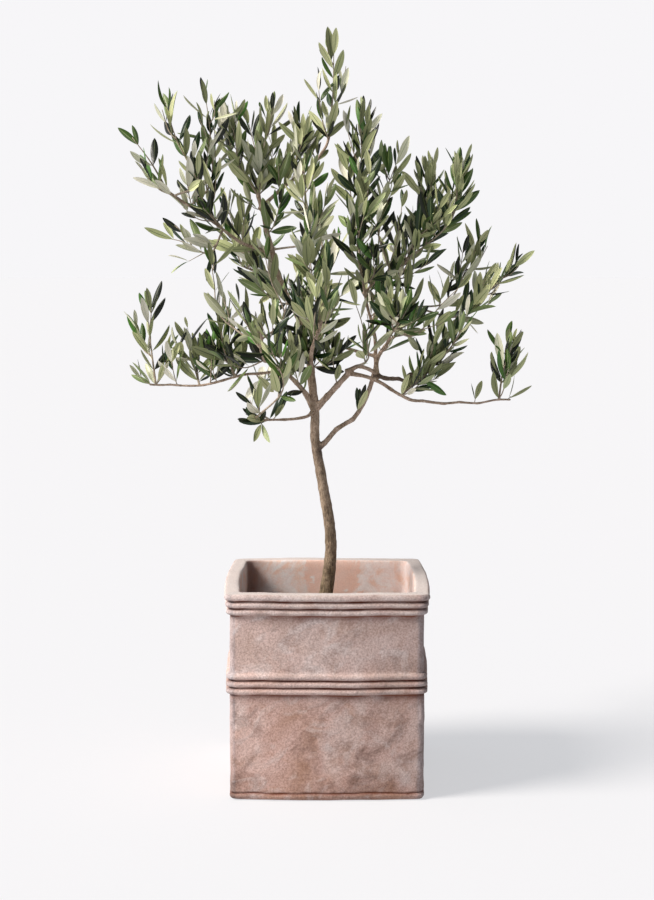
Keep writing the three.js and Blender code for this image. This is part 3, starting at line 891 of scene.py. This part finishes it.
for number, (name, share, heading, tall) in enumerate(STRAYS):
    line, girth = limb_lines[name]
    step = round(share * (len(line) - 1))
    sprout(line[step], heading, tall, girth[step] + 3 * MM, (25, number))

# Young olive wood: a thin smooth rind in greyish tan, faintly streaked and dull.
rind, tree, shader, places = start_material("olive_shoot_rind")
streaks = add(tree, "TexNoise", {"Vector": places, "Scale": per(6), "Detail": 4})
shoot_tint = add(tree, "ValToRGB", {"Fac": streaks}, stops=[(0.35, "#8A7868"), (0.65, "#B9AB97")])
downy = add(tree, "Bump", {"Strength": 0.3, "Distance": 0.3 * MM, "Height": streaks})
feed(shader, {"Base Color": shoot_tint, "Roughness": 0.7, "Normal": downy})

points, faces = [], []
for line, foot_radius, *_ in shoots:
    radii = np.linspace(foot_radius, TIP_RADIUS, len(line))
    join(points, faces, *tube(line, radii, SHOOT_SIDES))
twigs = piece("twigs_and_shoots", points, faces, [rind])


# Leaves: narrow olive leaves in opposite pairs, each pair turned a quarter from the one
# below. A leaf is a leathery blade on a short stalk, mostly dark and faintly glossy above,
# pale and felted below, folded a little along its midrib. It is made of two skins that meet at the
# edge, and about half of each shoot's leaves share a tint, as they opened together.
PAIR_SPACING = 18.5 * MM
LEAF_LENGTH = (38 * MM, 65 * MM)
LEAF_SLENDERNESS = 0.26  # width over length
LEAF_THICKNESS = 0.5 * MM
STALK = 0.07  # its length as a share of the blade's
LEAF_STATIONS = np.array((-STALK, 0, 0.04, 0.1, 0.2, 0.32, 0.45, 0.58, 0.71, 0.83, 0.93, 1.0))
LEAF_ACROSS = np.array((-1.0, -0.78, -0.44, -0.09, 0.09, 0.44, 0.78, 1.0))
OPENING = 18  # angle between leaf and shoot at its tip, in degrees
OPENS_BY = 30  # how much wider the leaves stand where they are fully open
OPENED = 70 * MM  # how far below the tip that is
ANGLE_SPREAD = math.radians(9)
ROLL_SPREAD = 0.75
YOUNG = 38 * MM  # how far below the tip the leaves are still short and close together
LIGHT = np.array((0, 0, 0.42))  # how much the leaves turn up
FALLEN = 0.07  # share of the leaves that have dropped
SAME_TINT = 0.4  # share of a shoot's leaves that surely have its tint
TINTS = {
    # name: (share of the shoots, upper side, under side)
    "deep": (0.26, "#0B1605", "#90966A"),
    "bottle": (0.2, "#1A3612", "#B2B986"),
    "olive": (0.19, "#425D23", "#CACD9C"),
    "sage": (0.16, "#7B8D58", "#DADBC1"),
    # silvery felt, with both sides also painted pale as painted highlight where leaves catch the lamp
    "silver_and_highlight": (0.13, "#B8BB97", "#F0EDDA"),
    "fresh": (0.06, "#4C782E", "#B3BC8E"),
}
cad_low, cad_high = (np.array(corner) for corner in cad_box)
tint_shares = [share for share, _, _ in TINTS.values()]
leaves = {tint: [] for tint in TINTS}  # foot, heading, face, length, bend, fold, twist
seeds = [seed for *_, seed in shoots]
for number, (line, _, bare, sparse, seed) in enumerate(shoots):
    grow = np.random.default_rng((*seed, number - seeds.index(seed)))
    reach = travel(line)
    headings = directions(line)
    tint = grow.choice(list(TINTS), p=tint_shares)
    turn = grow.uniform(0, 2 * math.pi)
    leaving = max(bare, 4 * MM)
    while leaving < reach[-1] + 1 * MM:
        step = np.argmin(abs(reach - leaving))
        remaining = reach[-1] - leaving
        turn += math.pi / 2 + grow.normal(0, 0.2)
        opening = math.radians(OPENING + OPENS_BY * min(1.0, remaining / OPENED))
        youth = max(0.0, 1 - remaining / YOUNG)
        for side in (0, math.pi):
            if grow.uniform() < FALLEN:
                continue
            angle = opening + grow.normal(0, ANGLE_SPREAD)
            out = across(headings[step], turn + side + grow.normal(0, 0.2))
            heading = math.cos(angle) * headings[step] + math.sin(angle) * out + LIGHT
            heading /= np.linalg.norm(heading)
            face = headings[step] - (headings[step] @ heading) * heading
            face /= np.linalg.norm(face)
            roll = grow.normal(0, ROLL_SPREAD)
            face = math.cos(roll) * face + math.sin(roll) * np.cross(heading, face)
            length = grow.uniform(*LEAF_LENGTH) * (1 - 0.32 * youth)
            tip = line[step] + heading * length
            if (tip < cad_low).any() or (tip > cad_high).any():
                continue
            own = grow.uniform() < SAME_TINT
            own_tint = tint if own else grow.choice(list(TINTS), p=tint_shares)
            leaves[own_tint].append((line[step], heading, face, length,
                                     grow.uniform(-0.28, 0.14), grow.uniform(0.2, 0.8),
                                     grow.normal(0, 0.4)))
        leaving += PAIR_SPACING * sparse * grow.uniform(0.8, 1.25) * (1 - 0.3 * youth)


def blade_width(t):
    """A leaf's half width along it, as a share of its widest: spear-shaped."""
    width = np.sin(math.pi * np.clip(t, 0, 1) ** 1.05) ** 0.65
    return np.maximum(width, np.where(t < 0.5, 0.075, 0.03))


def leaf_mesh(grown):
    """Points, faces and materials of many leaves: an upper and an under skin for each."""
    feet, heads, ups = (np.array([leaf[i] for leaf in grown])[:, None, None] for i in range(3))
    length, bend, fold, twist = (np.array([leaf[i] for leaf in grown])[:, None, None]
                                 for i in range(3, 7))
    t, s = (grid[None] for grid in np.meshgrid(LEAF_STATIONS, LEAF_ACROSS, indexing="ij"))
    half = length * LEAF_SLENDERNESS / 2 * blade_width(t)
    blade = np.clip(t, 0, 1)
    side = s * half
    lift = length * bend * blade ** 2 - fold * np.abs(s) ** 1.6 * half
    lift = lift - 0.25 * MM * np.exp(-(s / 0.3) ** 2) * blade_width(t)
    turned_side = side * np.cos(twist * blade) - lift * np.sin(twist * blade)
    turned_lift = side * np.sin(twist * blade) + lift * np.cos(twist * blade)
    skins = []
    for under in (0, 1):
        thickness = under * LEAF_THICKNESS * (1 - np.abs(s)) * np.minimum(1, 3 * blade_width(t))
        keel = under * 0.3 * MM * np.exp(-(s / 0.25) ** 2)
        skins.append(feet + heads * (length * (t + STALK))[..., None]
                     + np.cross(ups, heads) * turned_side[..., None]
                     + ups * (turned_lift - thickness - keel)[..., None])
    rows, columns = len(LEAF_STATIONS), len(LEAF_ACROSS)
    corner = (np.arange(rows - 1)[:, None] * columns + np.arange(columns - 1)).ravel()
    quad = np.stack([corner, corner + 1, corner + columns + 1, corner + columns], axis=1)
    one = np.concatenate([quad[:, ::-1], np.roll(quad, -1, axis=1) + rows * columns])
    faces = one[None] + (np.arange(len(grown)) * 2 * rows * columns)[:, None, None]
    is_rib = np.tile(np.arange(columns - 1) == columns // 2 - 1, rows - 1)
    skin_materials = np.concatenate([np.where(is_rib, 2, 0), np.where(is_rib, 2, 1)])
    points = np.stack(skins, axis=1).reshape(-1, 3)
    return points, faces.reshape(-1, 4).tolist(), np.tile(skin_materials, len(grown))


def between(first, second):
    """The hex colour half way between two others."""
    pairs = [(int(first[i:i + 2], 16), int(second[i:i + 2], 16)) for i in (1, 3, 5)]
    return "#" + "".join(f"{(a + b) // 2:02X}" for a, b in pairs)


def leaf_skin(name, hex_code, roughness, ripple_mm, sheen=0.0):
    """One side of the leaves: a plain tint, with fine ripples between the veins."""
    material, tree, shader, places = start_material(name)
    ripples = add(tree, "TexNoise", {"Vector": places, "Scale": per(ripple_mm), "Detail": 3})
    rippled = add(tree, "Bump", {"Strength": 0.25, "Distance": 0.3 * MM, "Height": ripples})
    feed(shader, {"Base Color": hex_code, "Roughness": roughness, "Sheen Weight": sheen,
                  "Normal": rippled})
    return material


# Leaf skins: above, a waxed cuticle with a satin gloss; below, a felt of tiny scales,
# which scatters light and looks silver-green; and a smooth pale rib down the middle. The
# blades have few faces, so shadows start a little past where light grazes them.
for tint, (_, upper, under) in TINTS.items():
    cuticle = leaf_skin(f"{tint}_leaf_cuticle", upper, 0.38, 3)
    felt = leaf_skin(f"{tint}_leaf_felt", under, 0.7, 1.5, sheen=0.1)
    rib = leaf_skin(f"{tint}_leaf_rib", between(upper, under), 0.5, 1.5)
    points, faces, skin_materials = leaf_mesh(leaves[tint])
    made = piece(f"{tint}_leaves", points, faces, [cuticle, felt, rib], skin_materials)
    made.cycles.shadow_terminator_offset = 0.25
    made.cycles.shadow_terminator_geometry_offset = 0.25
    if tint == "deep":
        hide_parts(*leafy)


# Studio: a translucent white floor, lit a little from below, that runs back out of sight
# to an equally bright backdrop; one broad lamp high on the left and a little in front; and
# a room whose walls are brighter on the lamp's side and whose ceiling is duller.
FLOOR_REACH = 90
LAMP_WIDTH = 22  # how wide the lamp looks from the tree, in degrees
floor_mesh = bpy.data.meshes.new("studio_floor")
floor_mesh.from_pydata([(-FLOOR_REACH, -FLOOR_REACH, 0), (FLOOR_REACH, -FLOOR_REACH, 0),
                        (FLOOR_REACH, FLOOR_REACH, 0), (-FLOOR_REACH, FLOOR_REACH, 0)],
                       [], [(0, 1, 2, 3)])
floor = put_in_scene("studio_floor", floor_mesh)

# Matt studio paint on a translucent sheet. It gives the tree less light than it shows, so
# that the undersides of the leaves keep their shade.
paint, tree, shader, places = start_material("matt_studio_paint")
floor_seen = add(tree, "LightPath").outputs["Is Camera Ray"]
glow = add(tree, "MapRange", {"Value": floor_seen, "To Min": 0.38, "To Max": 0.594})
feed(shader, {"Base Color": "#9A9A9C", "Roughness": 0.95, "Specular IOR Level": 0,
              "Emission Color": "#F6F7FA", "Emission Strength": glow})
floor_mesh.materials.append(paint)

lamp_data = bpy.data.lights.new("soft_lamp", "SUN")
lamp_data.energy = 4.4
lamp_data.angle = math.radians(LAMP_WIDTH)
lamp_data.color = colour("#FFF8F0")[:3]
lamp = put_in_scene("soft_lamp", lamp_data)
lamp.rotation_euler = Vector((0.71, 0.25, -0.66)).to_track_quat("-Z", "Y").to_euler()

world = bpy.data.worlds.new("room")
world.use_nodes = True
room = world.node_tree
outlook = add(room, "TexCoord").outputs["Generated"]
split = add(room, "SeparateXYZ", {"Vector": outlook})
ceiling = add(room, "ValToRGB",
              {"Fac": split.outputs["Z"]}, stops=[(0.17, "#F3F3F6"), (0.4, "#9FA1A8")])
wall_light = add(room, "MapRange",
                 {"Value": split.outputs["X"], "From Min": -1, "To Min": 1.1, "To Max": 0.25})
walls = room.nodes["Background"]
feed(walls, {"Color": ceiling, "Strength": wall_light})
backdrop = add(room, "Background", {"Color": "#F7F6F8"})
room_seen = add(room, "LightPath").outputs["Is Camera Ray"]
either = add(room, "MixShader", {0: room_seen, 1: walls, 2: backdrop})
feed(room.nodes["World Output"], {"Surface": either})
bpy.context.scene.world = world
bpy.context.scene.view_settings.view_transform = "Standard"
